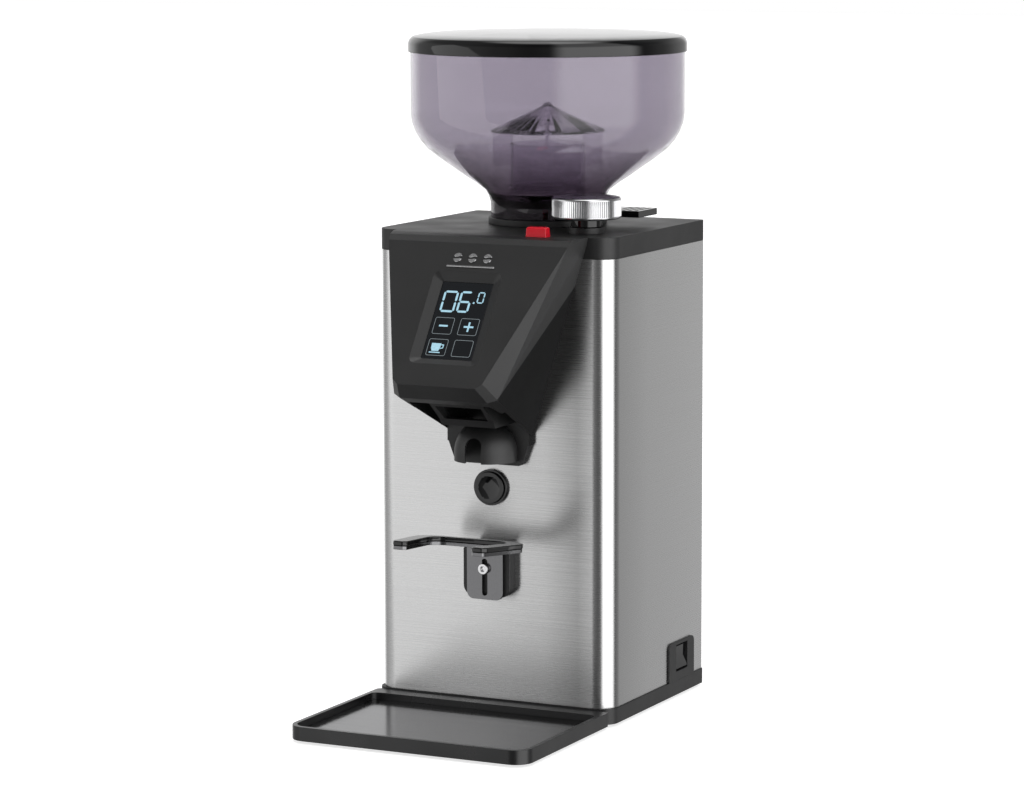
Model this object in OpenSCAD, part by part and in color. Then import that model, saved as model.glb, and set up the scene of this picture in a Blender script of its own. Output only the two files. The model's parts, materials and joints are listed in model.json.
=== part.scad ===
// Upright on-demand burr coffee grinder. Drawn in millimetres, +Z up, with the
// steel front on the plane y = 0, and placed last with its origin at the middle
// of its footprint, on the surface that it stands on.

/* [Body] */
// Width of the base, across the body
base_w = 178; // [170:1:190]
// Depth of the body from steel front to rear cover
body_d = 154; // [152:1:160]
// Height of the plastic base
base_h = 10.4; // [9:0.1:12]
// Width of the brushed steel wrap
steel_w = 176; // [174:1:177]
// Height at which the steel meets the cap
steel_top = 312.3; // [312:0.1:313]
// Height of the top of the cap
cap_top = 326.5; // [326.3:0.1:327]
// Radius of the steel's two front corners
corner_r = 14; // [8:1:16]
// Thickness of the steel sheet
sheet_t = 1.2; // [0.8:0.1:1.5]
// Height of the rubber feet below the base
foot_h = 2; // [1:0.5:4]

/* [Hopper] */
// Distance of the hopper's axis behind the steel front
axis_y = 87.1; // [87:0.1:87.4]
// Outer radius of the bean hopper
hopper_r = 93.8; // [90:0.1:94]
// Radius of the hopper's neck
neck_r = 39; // [38:0.1:40]
// Wall thickness of the hopper
hopper_t = 2.2; // [1.8:0.1:2.4]
// Radius of the lid
lid_r = 95.4; // [95:0.1:97]
// Height of the lid's lower edge
lid_low = 443.9; // [442:0.1:446]
// Height of the rim's top corner on the lid
lid_rim = 454.4; // [453:0.1:456]
// Height of the crown of the lid
lid_crown = 458.1; // [456:0.1:460]

/* [Console] */
// Lean of the console panel from upright
panel_lean = 34.7; // [33:0.1:36]
// Half width of the panel at its top
panel_top_w = 66.4; // [62:0.1:68]
// Half width of the panel at its bottom
panel_low_w = 32; // [28:0.1:34]
// Length of the panel down its slope
panel_len = 107; // [104:0.5:108]
// Half width of the display glass
glass_w = 18.5; // [17:0.1:20]
// Depth of the display glass below the panel
glass_sink = 3.2; // [2.5:0.1:3.5]

/* [Fork and tray] */
// Reach of the portafilter fork in front of the steel
fork_reach = 80; // [76:1:84]
// Half width of the fork across its shoulders
fork_w = 39.5; // [38:0.5:43]
// Upward tilt of the fork's arms
fork_tilt = 5.3; // [4:0.1:7]
// Reach of the drip tray in front of the steel
tray_reach = 129; // [120:1:135]
// Width of the drip tray
tray_w = 175; // [170:1:178]
// Height of the drip tray's rim
tray_h = 9.5; // [9:0.1:10]

/* [Burrs and drive] */
// Outer radius of the flat burrs
burr_r = 32.5; // [30:0.5:33]
// Gap between the two burrs at rest
burr_gap = 1.2; // [0.6:0.1:1.5]
// Teeth on the adjustment ring
ring_teeth = 84; // [84:1:84]
// Teeth on the knob's pinion
pinion_teeth = 21; // [21:1:21]
// Module of the adjustment gears
gear_m = 1.5; // [1.5:0.1:1.5]
// Radius of the motor shaft
shaft_r = 6; // [5.5:0.1:6.5]

/* [Hidden] */
$fn = 64;
fine = 128;
run = 0.05;             // radial clearance of a running fit
gap = 0.3;              // clearance between neighbours that don't touch
eps = 0.02;             // overshoot of a cut past the face it opens

plastic_t = 2.5;
cap_w = 176.6;
cap_rear_r = 3;
seam_y = 4.3;           // parting line between the console moulding and the cap
rear_t = 1.5;
shell_rear = body_d - rear_t;
base_front_r = 10;

// Console outline, worked out from the panel's top edge
panel_y = -20.3;
panel_z = cap_top - 4.9;
panel_dy = -sin(panel_lean);
panel_dz = -cos(panel_lean);
low_y = panel_y + panel_dy * panel_len;
low_z = panel_z + panel_dz * panel_len;
rim_y = -65;            // front tip of the side walls
rim_z = 228;
rim_w = 39.3;
lip_y = -70.5;            // lower edge of the bottom bevel
lip_z = 223;
wall_top_w = 63.6;      // where a side wall leaves the steel
wall_top_z = 298.4;
wall_low_w = 30.5;        // where a side wall ends on the steel
wall_low_z = 190;
foot_w = 24.5;          // half width of the backing plate's lower edge
foot_z = 172;
backing_t = 5.5;

// Adjustment gearing
ring_r = gear_m * ring_teeth / 2;
pinion_r = gear_m * pinion_teeth / 2;
centre_d = ring_r + pinion_r;
knob_x = centre_d * cos(45);
knob_y = axis_y - centre_d * sin(45);
gear_low = 308;
gear_h = 10;
knob_r = 23.2;
knob_low = 336.2;
knob_high = 350.8;

// Grinding chamber and drive, from the frame plate upwards
plate_low = 259;
plate_t = 4;
plate_top = plate_low + plate_t;
chamber_r = 40.05;
chamber_wall = 6.5;
chamber_floor = 268;
chamber_top = 307;
duct_w = 12;            // half width of the coffee outlet
duct_wall = 3;
duct_low = 269.5;
duct_top = 290;
carrier_low = 269.5;
carrier_t = 4.5;
burr_t = 7;
burr_low = carrier_low + carrier_t;
upper_burr_low = burr_low + burr_t + burr_gap;
holder_low = upper_burr_low + burr_t;

// Motor
motor_r = 50;
motor_wall = 3;
motor_low = 120;
bearing_r = 16;
bearing_w = 10;
upper_bearing_low = 245;
lower_bearing_low = 109;
stack_low = 150;
stack_top = 212;
rotor_r = 27.5;
air_gap = 0.5;
fan_low = 94;

// Hopper throat
collar_r = 40.7;
collar_top = 331;
spigot_r = 35.7;
throat_r = 36;
gate_low = 333.6;
gate_t = 4.7;
gate_tip = 75.5;
gate_w = 18;            // half width of the shutter plate
handle_w = 15;
core_r = 36.8;
core_top = 344.3;
feed_r = 15;

// Front fittings
button_z = 155.5;
button_r = 10.7;
bezel_r = 12.3;
guide_w = 17.4;
guide_low = 82;
guide_high = 116;
guide_y = -8.5;
tab_w = 13.4;
tab_low = 80.5;
tab_t = 2.6;
tab_y = guide_y - 0.2 - tab_t;
slot_low = 83.2;
slot_high = 108.2;
screw_z = 101.6;
screw_r = 1.95;
pad_t = 3.4;
fork_t = 2.4;
fork_root_z = 119.2;    // steel fork's top at its bend

// Power switch on the right-hand side
switch_y = 115.3;
switch_z = 25.9;
inlet_x = -45;
inlet_z = 42;

shift_y = -(axis_y + lid_r - tray_reach) / 2;

// ---- shared shapes ----

// Moves the whole drawing to the part's own origin
module placed() {
    translate([0, shift_y, foot_h]) children();
}

// Copies a child to both sides of the centre plane
module both_sides() {
    children();
    mirror([1, 0, 0]) children();
}

// Points of an arc about c, from angle a to angle b
function arc(c, r, a, b, n = 8) =
    [for (i = [0:n]) [c[0] + r * cos(a + (b - a) * i / n), c[1] + r * sin(a + (b - a) * i / n)]];

// Rectangle about x = 0 from y0 to y1, with front and rear corner radii
function round_rect(w, y0, y1, rf, rr, n = 8) = concat(
    arc([w / 2 - rf, y0 + rf], rf, -90, 0, n),
    arc([w / 2 - rr, y1 - rr], rr, 0, 90, n),
    arc([rr - w / 2, y1 - rr], rr, 90, 180, n),
    arc([rf - w / 2, y0 + rf], rf, 180, 270, n));

module slab(w, y0, y1, rf, rr, z0, z1, n = 12) {
    translate([0, 0, z0]) linear_extrude(z1 - z0) polygon(round_rect(w, y0, y1, rf, rr, n));
}

module box(x0, x1, y0, y1, z0, z1) {
    translate([x0, y0, z0]) cube([x1 - x0, y1 - y0, z1 - z0]);
}

// Round bar along Z between two heights
module bar(r, z0, z1) {
    translate([0, 0, z0]) cylinder(r = r, h = z1 - z0);
}

module ring(r_out, r_in, z0, z1) {
    difference() {
        bar(r_out, z0, z1);
        bar(r_in, z0 - eps, z1 + eps);
    }
}

// Round bar along Y between two depths
module bar_y(r, y0, y1) {
    translate([0, y1, 0]) rotate([90, 0, 0]) cylinder(r = r, h = y1 - y0);
}

// Convex solid round a list of corner points
module convex(points) {
    hull() polyhedron(points, [for (i = [0:len(points) - 3]) [i, i + 1, i + 2]]);
}

// Frame on the console panel: x across, y up the slope from its top edge, z outwards
module on_panel() {
    translate([0, panel_y, panel_z]) rotate([90 - panel_lean, 0, 0]) children();
}

module on_axis() {
    translate([0, axis_y, 0]) children();
}

module on_knob() {
    translate([knob_x, knob_y, 0]) children();
}

// One involute flank point at roll angle t
function involute(rb, t) = rb * sqrt(1 + pow(t * PI / 180, 2));
function flank_angle(rb, r) = sqrt(pow(r / rb, 2) - 1) * 180 / PI - atan(sqrt(pow(r / rb, 2) - 1));

// Involute spur gear outline, with the first tooth centred on the x axis
module gear_outline(teeth) {
    pitch = gear_m * teeth / 2;
    base = pitch * cos(20);
    root = pitch - 1.25 * gear_m;
    tip = pitch + gear_m;
    play = 0.06;
    half = 90 / teeth + flank_angle(base, pitch) - play / pitch * 180 / PI;
    low = max(base, root);
    steps = 3;
    radii = [for (i = [0:steps]) low + (tip - low) * i / steps];
    polygon([for (k = [0:teeth - 1]) let (a = 360 * k / teeth) each concat(
        [[root * cos(a - half), root * sin(a - half)]],
        [for (r = radii) let (b = a - half + flank_angle(base, r)) [r * cos(b), r * sin(b)]],
        [for (i = [steps:-1:0]) let (r = radii[i], b = a + half - flank_angle(base, r))
            [r * cos(b), r * sin(b)]],
        [[root * cos(a + half), root * sin(a + half)]])]);
}

// Countersunk burr screw hanging down from z
module burr_screw(z, length) {
    bar(1.5, z - length, z - 1.5);
    translate([0, 0, z - 1.5]) cylinder(r1 = 1.5, r2 = 3, h = 1.5);
}

burr_screw_r = 24.5;
burr_screw_angles = [30, 150, 270];

// ---- base and casing ----

module base_plate() {
    floor_z = 5;
    boss_r = 3.2;
    color([0.07, 0.07, 0.07]) difference() {
        union() {
            difference() {
                slab(base_w, -0.2, body_d, base_front_r, cap_rear_r, 0, base_h);
                slab(base_w - 12, 6, body_d - 6, 6, 3, floor_z, base_h + eps);
            }
            for (p = board_holes) translate([p[0], p[1], floor_z]) cylinder(r = boss_r, h = 9);
            translate([cap_x, cap_y, 0]) ring(22, 19, floor_z, 18);
        }
        for (p = foot_spots) translate([p[0], p[1], -eps]) cylinder(r = 9, h = 1 + eps);
    }
}

foot_spots = [[-72, 18], [72, 18], [-72, 136], [72, 136]];
board_holes = [[-70, 26], [-10, 26], [-70, 72], [-10, 72]];
cap_x = 45;
cap_y = 60;

module rubber_feet() {
    color([0.05, 0.05, 0.05]) for (p = foot_spots) translate([p[0], p[1], 0])
        rotate_extrude() polygon([[0, -foot_h], [7.5, -foot_h], [8.7, 0], [8.7, 1], [0, 1]]);
}

module body_shell() {
    inner = steel_w - 2 * sheet_t;
    color([0.75, 0.75, 0.75]) difference() {
        slab(steel_w, 0, shell_rear + corner_r, corner_r, 1, base_h, steel_top, 16);
        slab(inner, sheet_t, body_d + corner_r + 2, corner_r - sheet_t, 1, base_h - eps, steel_top + eps, 16);
        box(-base_w, base_w, shell_rear, body_d * 2, 0, cap_top);
        box(-duct_w - duct_wall - gap, duct_w + duct_wall + gap, -1, 10, duct_low - 4, duct_top + 4);
        translate([0, 0, button_z]) bar_y(button_r + 0.6, -1, 10);
        translate([0, 0, screw_z]) bar_y(4.2, -1, 10);
        box(80, 100, switch_y - 10.4, switch_y + 10.4, switch_z - 10, switch_z + 10);
    }
}

module rear_cover() {
    color([0.75, 0.75, 0.75]) difference() {
        box(1.5 - steel_w / 2, steel_w / 2 - 1.5, shell_rear, body_d, base_h, steel_top);
        for (i = [0:7], s = [-1, 1]) box(s * 36 - 24, s * 36 + 24, 150, 156, 120 + 9 * i, 124 + 9 * i);
        box(inlet_x - 13.7, inlet_x + 13.7, 150, 156, inlet_z - 10.2, inlet_z + 10.2);
        for (p = cover_holes) translate([p[0], 0, p[1]]) bar_y(2.1, 150, 156);
    }
}

cover_holes = [[-80, 20], [80, 20], [-80, 160], [80, 160], [-80, 302], [80, 302]];

module body_screws() {
    color([0.3, 0.3, 0.3]) {
        for (p = cover_holes) translate([p[0], 0, p[1]]) {
            bar_y(3.6, body_d, body_d + 2);
            bar_y(2, shell_rear - 5, body_d);
        }
        for (a = [45:90:315]) translate([57 * cos(a), axis_y + 57 * sin(a), 0]) {
            bar(2, plate_low - 8, plate_top);
            bar(3.6, plate_top, plate_top + 2);
        }
    }
}

module top_cover() {
    color([0.07, 0.07, 0.07]) difference() {
        union() {
            difference() {
                slab(cap_w, 0, body_d, corner_r, cap_rear_r, steel_top, cap_top);
                difference() {
                    slab(cap_w - 2 * plastic_t, plastic_t, body_d - 1.6, corner_r - plastic_t, 1,
                        steel_top - eps, cap_top - 3);
                    box(-100, 100, -1, seam_y + plastic_t, 300, 330);
                }
                box(-100, 100, -1, seam_y, 300, 330);
            }
            on_knob() ring(11.8, shaft_r + run, cap_top - 7.5, cap_top + 4);
        }
        on_axis() bar(throat_r, steel_top, cap_top + 1);
        on_knob() bar(shaft_r + run, steel_top, cap_top + 5);
    }
}

// ---- console ----

// Corner points of one side of the console, drawn in by t on every face
function console_side(t) = [
    [72 - t, seam_y, cap_top - t],
    [70.5 - t, -5 + t, cap_top - t],
    [68.3 - t, -10.9 + t, cap_top - t],
    [67.3 - t, -16.2 + 1.2 * t, panel_z + 3.6 - t],
    [panel_top_w - t, panel_y + 1.3 * t, panel_z - 0.3 * t],
    [panel_low_w + 3.4 - t, low_y - 11.5 * panel_dy + 1.2 * t, low_z - 11.5 * panel_dz],
    [panel_low_w + 0.8 - t, low_y - 3.7 * panel_dy + 1.2 * t, low_z - 3.7 * panel_dz],
    [panel_low_w - 3.5 - t, low_y + 1.2 * t, low_z - 0.2 * t],
    [rim_w + 2 - t, rim_y + 6.2 + t, rim_z + 6.5],
    [rim_w - 1.2 - t, rim_y - 2 + 1.4 * t, rim_z - 3 - 0.5 * t],
    [rim_w - 7 - t, lip_y + 1.6 * t, lip_z - 0.5 * t],
    [wall_top_w - t, seam_y, wall_top_z],
    [67.5 - t, seam_y, steel_top],
    [wall_low_w - t, seam_y, wall_low_z - 3 * t]];

function mirrored(points) = [for (p = points) [-p[0], p[1], p[2]]];

module console_solid(t) {
    convex(concat(console_side(t), mirrored(console_side(t))));
}

module console_housing() {
    bay_top = -16;
    bay_low = -94;
    color([0.09, 0.09, 0.09]) difference() {
        union() {
            difference() {
                console_solid(0);
                difference() {
                    console_solid(plastic_t);
                    on_panel() box(-30, 30, bay_low, bay_top, -9, 9);
                    box(lock_x0 - 2.8, lock_x1 + 3.2, -13, 0, 300, 340);
                }
                box(2.8 - wall_low_w, wall_low_w - 2.8, rim_y + 8, 10, wall_low_z - 20, wall_low_z + 9);
            }
            box(-wall_low_w, wall_low_w, -backing_t, -eps, wall_low_z - 4, wall_low_z + 20);
            backing_plate();
            difference() {
                slab(cap_w, 0, 40, corner_r, 3, steel_top, cap_top);
                slab(cap_w - 2 * plastic_t, plastic_t, 50, corner_r - plastic_t, 1,
                    steel_top - eps, cap_top - 3);
            }
        }
        box(-100, 100, -eps, 20, 100, steel_top);
        box(-100, 100, seam_y, 60, 300, 330);
        box(-duct_w - 4, duct_w + 4, -backing_t - 1, 1, duct_low - 4, duct_top + 4);
        display_recess();
        box(lock_x0 - gap, lock_x1 + gap, lock_y0 - gap, lock_y1 + gap, cap_top - 6, cap_top + 2);
        translate([lock_x, lock_y, 0]) bar(2 + gap, 300, cap_top);
    }
}

lock_x0 = 30.4;
lock_x1 = 45.6;
lock_y0 = -10.4;
lock_y1 = -3;
lock_x = (lock_x0 + lock_x1) / 2;
lock_y = (lock_y0 + lock_y1) / 2;

// Trapezium that carries the chute against the steel
module backing_plate() {
    points = concat([[-wall_low_w, wall_low_z - 2]], [[wall_low_w, wall_low_z - 2]],
        arc([foot_w - 2, foot_z + 3], 3, 0, -90, 4), arc([2 - foot_w, foot_z + 3], 3, -90, -180, 4));
    translate([0, -eps, 0]) rotate([90, 0, 0]) linear_extrude(backing_t - eps) polygon(points);
}

module display_recess() {
    on_panel() {
        hull() {
            translate([0, 0, 0.5]) linear_extrude(0.5) polygon(round_rect(52.5, -91.5, -20.8, 5, 5, 4));
            translate([0, 0, -glass_sink]) linear_extrude(0.1)
                polygon(round_rect(2 * glass_w + 0.4, -85.5, -27.6, 1, 1, 4));
        }
        box(-glass_w - 0.2, glass_w + 0.2, -85.4, -27.8, -10, 0);
    }
}

module badge() {
    color([0.8, 0.8, 0.8]) on_panel() {
        linear_extrude(0.6) polygon([[-17.5, -18.3], [17.5, -18.3], [17.5, -17.2], [-17.5, -17.2]]);
        for (s = [-1, 0, 1]) translate([11 * s, -11.3, 0]) scale([1.45, 1.45, 1.45]) bean();
    }
}

// Coffee bean seen from above, split along its crease
module bean() {
    length = 3.3;
    for (a = [0, 180]) rotate([0, 0, a]) linear_extrude(0.5)
        polygon(concat(arc([0, 0.25], 2.1, 10, 170, 10), [[-length * 0.4, 0.25]], [[0, 0.5]]));
}

module display_glass() {
    color([0.02, 0.02, 0.03]) on_panel()
        box(-glass_w, glass_w, -85.2, -28, -glass_sink - 1.4, -glass_sink);
}

module display_board() {
    color([0.05, 0.25, 0.1]) on_panel() {
        box(-glass_w + 0.5, glass_w - 0.5, -84.7, -28.5, -glass_sink - 6, -glass_sink - 4.4);
        box(-glass_w + 1.5, glass_w - 1.5, -83.7, -29.5, -glass_sink - 4.4, -glass_sink - 1.4);
    }
}

// ---- coffee outlet ----

// Side outline of the chute's box, from y = -backing_t forwards
chute_side = [[-5.6, 201], [-34.5, 201], [-37, 205.5], [-53.5, 218.6], [-51, 225], [-36, 252],
    [-20, 276], [-14, 292.5], [-5.6, 292.5]];
chute_bore = [[-7, 203.5], [-33, 203.5], [-35, 208], [-48.5, 219], [-46.5, 225], [-33, 250],
    [-17.5, 273.5], [-12.5, 290], [-7, 290]];
nose_y = -7;
nose_r = 22;
nose_mid = 181;

module chute() {
    color([0.08, 0.08, 0.08]) difference() {
        union() {
            rotate([90, 0, 90]) linear_extrude(40, center = true) polygon(chute_side);
            difference() {
                translate([0, nose_y, 0]) union() {
                    bar(nose_r, foot_z + 3, nose_mid);
                    translate([0, 0, nose_mid]) sphere(r = nose_r);
                }
                box(-50, 50, -backing_t - 0.1, 50, 100, 300);
                box(-50, 50, -60, 60, 100, foot_z + 3);
            }
        }
        rotate([90, 0, 90]) linear_extrude(2 * duct_w + 8, center = true) polygon(chute_bore);
        translate([0, nose_y, 0]) union() {
            bar(nose_r - 2, foot_z - 1, nose_mid);
            translate([0, 0, nose_mid]) sphere(r = nose_r - 2);
        }
        box(-duct_w, duct_w, -15.5, -backing_t - 1.4, 190, 210);
        window();
        translate([0, 0, 186]) bar_y(6, -40, -15);
        box(-6, 6, -40, -15, 150, 186);
        box(-duct_w, duct_w, -20, 0, duct_low, duct_top);
    }
}

// Sloping inspection window above the nose
module window() {
    convex([[-17.6, -57, 222], [17.6, -57, 222], [-16, -38.5, 205.7], [16, -38.5, 205.7],
        [-17.6, -45, 222], [17.6, -45, 222], [-16, -30, 207], [16, -30, 207]]);
}

// ---- front fittings ----

module button_bezel() {
    color([0.04, 0.04, 0.04]) translate([0, 0, button_z]) difference() {
        union() {
            bar_y(bezel_r, -2.6, 0);
            bar_y(button_r + 0.5, 0, 3.5);
        }
        bar_y(button_r + run, -5, 8);
    }
}

module microswitch() {
    color([0.1, 0.1, 0.1]) {
        box(-10, 10, 15, 25, button_z - 8, button_z + 8);
        translate([0, 0, button_z + 4]) bar_y(1.5, 12.6, 15);
    }
}

module fork_guide() {
    corner = 7;
    points = concat([[-guide_w, guide_high - 2], [-guide_w + 2, guide_high]],
        [[guide_w - 2, guide_high], [guide_w, guide_high - 2]],
        arc([guide_w - corner, guide_low + corner], corner, 0, -90, 6),
        arc([corner - guide_w, guide_low + corner], corner, -90, -180, 6));
    color([0.07, 0.07, 0.07]) difference() {
        union() {
            rotate([90, 0, 0]) linear_extrude(-guide_y) polygon(points);
            translate([0, 0, screw_z]) bar_y(4, -1, 6);
        }
        translate([0, 0, screw_z]) bar_y(screw_r + run, -20, 20);
    }
}

module switch_housing() {
    y0 = switch_y - 21;
    y1 = switch_y + 21;
    plate_x = base_w / 2;
    outer = concat([[y0, base_h], [y1, base_h]], arc([y1 - 4, 33.5], 4, 0, 90, 4),
        arc([y0 + 4, 33.5], 4, 90, 180, 4));
    color([0.07, 0.07, 0.07]) difference() {
        union() {
            translate([steel_w / 2, 0, 0]) rotate([90, 0, 90]) linear_extrude(1.4) polygon(outer);
            box(72, steel_w / 2, switch_y - 10.2, switch_y + 10.2, switch_z - 9.8, switch_z + 9.8);
        }
        box(74, plate_x + 2, switch_y - 9.7, switch_y + 9.7, switch_z - 9.3, switch_z + 9.3);
    }
    color([0.07, 0.07, 0.07]) translate([rocker_x, 0, switch_z]) bar_y(1.5, switch_y - 9.7, switch_y + 9.7);
}

rocker_x = 82;

module power_inlet() {
    color([0.05, 0.05, 0.05]) difference() {
        union() {
            box(inlet_x - 13.5, inlet_x + 13.5, 130, body_d, inlet_z - 10, inlet_z + 10);
            box(inlet_x - 16, inlet_x + 16, body_d, body_d + 2.5, inlet_z - 12.5, inlet_z + 12.5);
        }
        box(inlet_x - 12, inlet_x + 12, 137, body_d + 4, inlet_z - 8, inlet_z + 8);
    }
}

module inlet_pins() {
    color([0.8, 0.7, 0.4]) for (x = [-7, 0, 7])
        box(inlet_x + x - 1, inlet_x + x + 1, 137, 152, inlet_z - 2, inlet_z + 2);
}

// ---- grinding head and motor ----

module hopper_collar() {
    color([0.05, 0.05, 0.05]) on_axis() ring(collar_r, throat_r, cap_top, collar_top);
}

module grinding_chamber() {
    out = duct_w + duct_wall;
    color([0.7, 0.7, 0.72]) difference() {
        union() {
            on_axis() bar(chamber_r + chamber_wall, plate_top, chamber_top);
            box(-out, out, -backing_t + 0.2, axis_y - chamber_r + 2, duct_low - duct_wall, duct_top + duct_wall);
        }
        on_axis() bar(chamber_r, chamber_floor, chamber_top + 1);
        on_axis() bar(shaft_r + 1, plate_low, chamber_top);
        box(-duct_w, duct_w, -20, axis_y, duct_low, duct_top);
    }
}

module frame_plate() {
    color([0.6, 0.6, 0.62]) difference() {
        slab(steel_w - 4, 3, 150, 12, 3, plate_low, plate_top);
        on_axis() bar(9, plate_low - 1, plate_top + 1);
        for (a = [45:90:315]) translate([57 * cos(a), axis_y + 57 * sin(a), 0])
            bar(2, plate_low - 1, plate_top + 1);
    }
}

module support_posts() {
    color([0.6, 0.6, 0.62]) both_sides() for (y = [16, 140]) translate([79, y, 0]) bar(3.5, 5, plate_low);
}

module motor_housing() {
    wall_in = motor_r - motor_wall;
    seat_top = upper_bearing_low + bearing_w;
    color([0.35, 0.36, 0.38]) on_axis() difference() {
        union() {
            rotate_extrude($fn = fine) polygon([[9, plate_low], [motor_r, plate_low],
                [motor_r, motor_low], [wall_in, motor_low], [wall_in, seat_top], [bearing_r + 3, seat_top],
                [bearing_r + 3, upper_bearing_low - 2], [bearing_r, upper_bearing_low - 2],
                [bearing_r, seat_top], [9, seat_top]]);
            for (a = [45:90:315]) translate([57 * cos(a), 57 * sin(a), 0]) bar(5.5, plate_low - 8, plate_low);
            for (a = [45:90:315]) rotate([0, 0, a]) box(motor_r - 1.5, 55, -4, 4, plate_low - 8, plate_low);
        }
        for (a = [45:90:315]) translate([57 * cos(a), 57 * sin(a), 0]) bar(2, 200, plate_low + 1);
        for (a = [0:45:315]) rotate([0, 0, a]) box(motor_r - 5, motor_r + 5, -5, 5, 226, 240);
    }
}

module motor_end_bell() {
    color([0.35, 0.36, 0.38]) on_axis() difference() {
        rotate_extrude($fn = fine) polygon([[bearing_r, lower_bearing_low], [bearing_r + 3, lower_bearing_low],
            [bearing_r + 3, 116.5], [motor_r, 116.5], [motor_r, motor_low], [9, motor_low],
            [9, lower_bearing_low + bearing_w], [bearing_r, lower_bearing_low + bearing_w]]);
        for (a = [0:60:300]) rotate([0, 0, a]) translate([34, 0, 100]) cylinder(r = 7, h = 30);
    }
}

module stator_core() {
    slots = 12;
    color([0.5, 0.5, 0.52]) on_axis() difference() {
        ring(motor_r - motor_wall, rotor_r + air_gap, stack_low, stack_top);
        for (i = [0:slots - 1]) rotate([0, 0, 360 / slots * (i + 0.5)])
            box(31, 41, -2.5, 2.5, stack_low - 1, stack_top + 1);
    }
}

module stator_windings() {
    coil = [[31, 0], [42, 0], [44, 5], [42, 12], [34, 12], [31, 9]];
    color([0.7, 0.35, 0.15]) on_axis() {
        translate([0, 0, stack_top]) rotate_extrude($fn = fine) polygon(coil);
        translate([0, 0, stack_low]) mirror([0, 0, 1]) rotate_extrude($fn = fine) polygon(coil);
    }
}

module at_bearings() {
    on_axis() for (z = [lower_bearing_low, upper_bearing_low]) translate([0, 0, z]) children();
}

module bearing_outer_races() {
    color([0.7, 0.7, 0.72]) at_bearings() race(bearing_r, 13);
}

module bearing_inner_races() {
    color([0.7, 0.7, 0.72]) at_bearings() race(9, shaft_r);
}

// Race with a groove for the balls on whichever side faces them
module race(r_out, r_in) {
    difference() {
        ring(r_out, r_in, 0, bearing_w);
        translate([0, 0, bearing_w / 2]) rotate_extrude() translate([11, 0]) circle(r = 3 + run);
    }
}

module bearing_balls() {
    color([0.8, 0.8, 0.82]) at_bearings() for (a = [0:45:315]) rotate([0, 0, a])
        translate([11, 0, bearing_w / 2]) sphere(r = 3, $fn = 24);
}

module run_capacitor() {
    color([0.2, 0.2, 0.25]) translate([cap_x, cap_y, 0]) {
        bar(18.8, 5, 74);
        for (s = [-5, 5]) translate([s, 0, 0]) bar(2, 74, 80);
    }
}

module control_board() {
    z = 14;
    top = z + 1.6;
    color([0.05, 0.3, 0.12]) difference() {
        box(-76, -4, 20, 78, z, top);
        for (p = board_holes) translate([p[0], p[1], 0]) bar(1.6, z - 1, top + 1);
    }
    color([0.15, 0.15, 0.15]) {
        box(-62, -34, 32, 60, top, top + 24);
        box(-28, -12, 34, 50, top, top + 15);
        for (x = [-26, -16]) translate([x, 62, 0]) bar(4, top, top + 14);
    }
}

module drive_shaft() {
    color([0.6, 0.6, 0.62]) on_axis() {
        bar(shaft_r, fan_low - 1, burr_low);
        bar(4, burr_low, burr_low + 14);
    }
}

module rotor() {
    color([0.55, 0.55, 0.57]) on_axis() difference() {
        union() {
            bar(rotor_r, stack_low, stack_top);
            bar(rotor_r - 4, stack_low - 6, stack_top + 6);
        }
        bar(shaft_r, stack_low - 10, stack_top + 10);
    }
}

module cooling_fan() {
    blades = 9;
    color([0.1, 0.1, 0.1]) on_axis() {
        ring(12, shaft_r, fan_low, fan_low + 12);
        for (i = [0:blades - 1]) rotate([0, 0, 360 / blades * i])
            rotate([24, 0, 0]) translate([11.5, -1, 0]) translate([0, 40, 103]) translate([0, -40, -103])
                box(0, 28, 41, 42.5, 87, 95);
    }
}

module burr_carrier() {
    vane_out = chamber_r - 0.35;
    color([0.75, 0.75, 0.77]) on_axis() difference() {
        union() {
            bar(36, carrier_low, burr_low);
            for (a = [0:120:240]) rotate([0, 0, a]) box(burr_r + 0.5, vane_out - 0.4, -3, 3, carrier_low, 278.5);
            bar(10, burr_low, burr_low + 5);
        }
        bar(shaft_r, carrier_low - 1, burr_low);
        bar(4, burr_low - 1, burr_low + 6);
        for (a = burr_screw_angles) rotate([0, 0, a]) translate([burr_screw_r, 0, 0])
            bar(1.5, carrier_low - 1, burr_low + 1);
    }
}

// Flat burr with its cutting face up: an outer land and slanting cutting teeth
module burr() {
    teeth = 24;
    difference() {
        rotate_extrude($fn = fine) polygon([[17, 0], [burr_r, 0], [burr_r, burr_t],
            [26, burr_t], [17.5, burr_t - 2.6], [17, burr_t - 2.6]]);
        for (i = [0:teeth - 1]) rotate([0, 0, 360 / teeth * i]) translate([15, 4, burr_t - 1.1])
            rotate([0, -7, 22]) cube([20, 1.2, 4]);
        for (a = burr_screw_angles) rotate([0, 0, a]) translate([burr_screw_r, 0, 0]) {
            bar(1.5, -1, burr_t);
            translate([0, 0, 3.4]) cylinder(r1 = 1.5, r2 = 3, h = 1.5);
            bar(3, 4.9, burr_t + 1);
        }
    }
}

module lower_burr() {
    color([0.5, 0.5, 0.52]) on_axis() translate([0, 0, burr_low]) burr();
}

module lower_burr_screws() {
    color([0.4, 0.4, 0.4]) on_axis() for (a = burr_screw_angles)
        rotate([0, 0, a]) translate([burr_screw_r, 0, 0]) burr_screw(burr_low + 4.9, 9);
}

module upper_burr() {
    color([0.5, 0.5, 0.52]) on_axis() translate([0, 0, holder_low]) mirror([0, 0, 1]) burr();
}

module upper_burr_screws() {
    color([0.4, 0.4, 0.4]) on_axis() translate([0, 0, holder_low]) mirror([0, 0, 1])
        for (a = burr_screw_angles) rotate([0, 0, a]) translate([burr_screw_r, 0, 0]) burr_screw(4.9, 10);
}

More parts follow.
